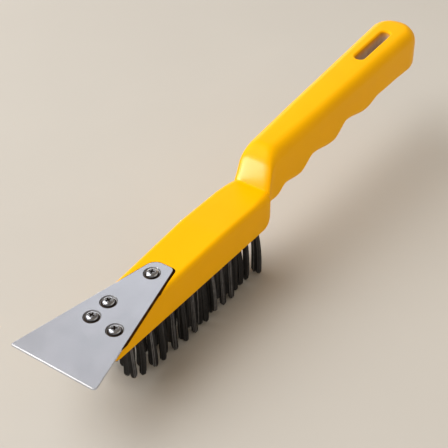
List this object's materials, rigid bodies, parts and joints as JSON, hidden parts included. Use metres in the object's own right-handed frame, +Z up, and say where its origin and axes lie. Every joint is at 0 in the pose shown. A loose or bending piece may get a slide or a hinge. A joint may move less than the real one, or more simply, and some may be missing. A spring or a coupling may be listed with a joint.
{
  "type": "wire brush with scraper",
  "caption": "Moulded plastic hand brush with an offset finger-grip handle, steel-wire tufts under its head and a trapezoid scraper blade screwed to its nose.",
  "frame": {"origin": "middle of the whole brush seen from above, on the surface that the bristle tips stand on", "axes": "+X along the brush from the scraper's edge to the hanging end, +Y across it, to the right of a user who pushes the scraper away and looks down on it, +Z up from the bristle tips"},
  "size_m": [0.3224, 0.0496, 0.0785],
  "materials": {
    "yellow_plastic": "moulded, satin gloss",
    "blade_steel": "rolled sheet, ground at the edge",
    "screw_steel": "bright zinc",
    "bristle_wire": "oil-tempered black wire",
    "anchor_steel": "plain strip"
  },
  "bodies": {
    "root": {"handle_body": "yellow_plastic", "scraper_blade": "blade_steel", "scraper_screw_rear": "screw_steel", "scraper_screw_middle": "screw_steel", "scraper_screw_front_right": "screw_steel", "scraper_screw_front_left": "screw_steel", "bristle_row_left": "bristle_wire", "bristle_row_middle": "bristle_wire", "bristle_row_right": "bristle_wire", "tuft_anchor_left_1": "anchor_steel", "tuft_anchor_left_2": "anchor_steel", "tuft_anchor_left_3": "anchor_steel", "tuft_anchor_left_4": "anchor_steel", "tuft_anchor_left_5": "anchor_steel", "tuft_anchor_left_6": "anchor_steel", "tuft_anchor_left_7": "anchor_steel", "tuft_anchor_left_8": "anchor_steel", "tuft_anchor_left_9": "anchor_steel", "tuft_anchor_left_10": "anchor_steel", "tuft_anchor_left_11": "anchor_steel", "tuft_anchor_left_12": "anchor_steel", "tuft_anchor_left_13": "anchor_steel", "tuft_anchor_left_14": "anchor_steel", "tuft_anchor_middle_1": "anchor_steel", "tuft_anchor_middle_2": "anchor_steel", "tuft_anchor_middle_3": "anchor_steel", "tuft_anchor_middle_4": "anchor_steel", "tuft_anchor_middle_5": "anchor_steel", "tuft_anchor_middle_6": "anchor_steel", "tuft_anchor_middle_7": "anchor_steel", "tuft_anchor_middle_8": "anchor_steel", "tuft_anchor_middle_9": "anchor_steel", "tuft_anchor_middle_10": "anchor_steel", "tuft_anchor_middle_11": "anchor_steel", "tuft_anchor_middle_12": "anchor_steel", "tuft_anchor_middle_13": "anchor_steel", "tuft_anchor_right_1": "anchor_steel", "tuft_anchor_right_2": "anchor_steel", "tuft_anchor_right_3": "anchor_steel", "tuft_anchor_right_4": "anchor_steel", "tuft_anchor_right_5": "anchor_steel", "tuft_anchor_right_6": "anchor_steel", "tuft_anchor_right_7": "anchor_steel", "tuft_anchor_right_8": "anchor_steel", "tuft_anchor_right_9": "anchor_steel", "tuft_anchor_right_10": "anchor_steel", "tuft_anchor_right_11": "anchor_steel", "tuft_anchor_right_12": "anchor_steel", "tuft_anchor_right_13": "anchor_steel", "tuft_anchor_right_14": "anchor_steel"}
  },
  "joints": []
}
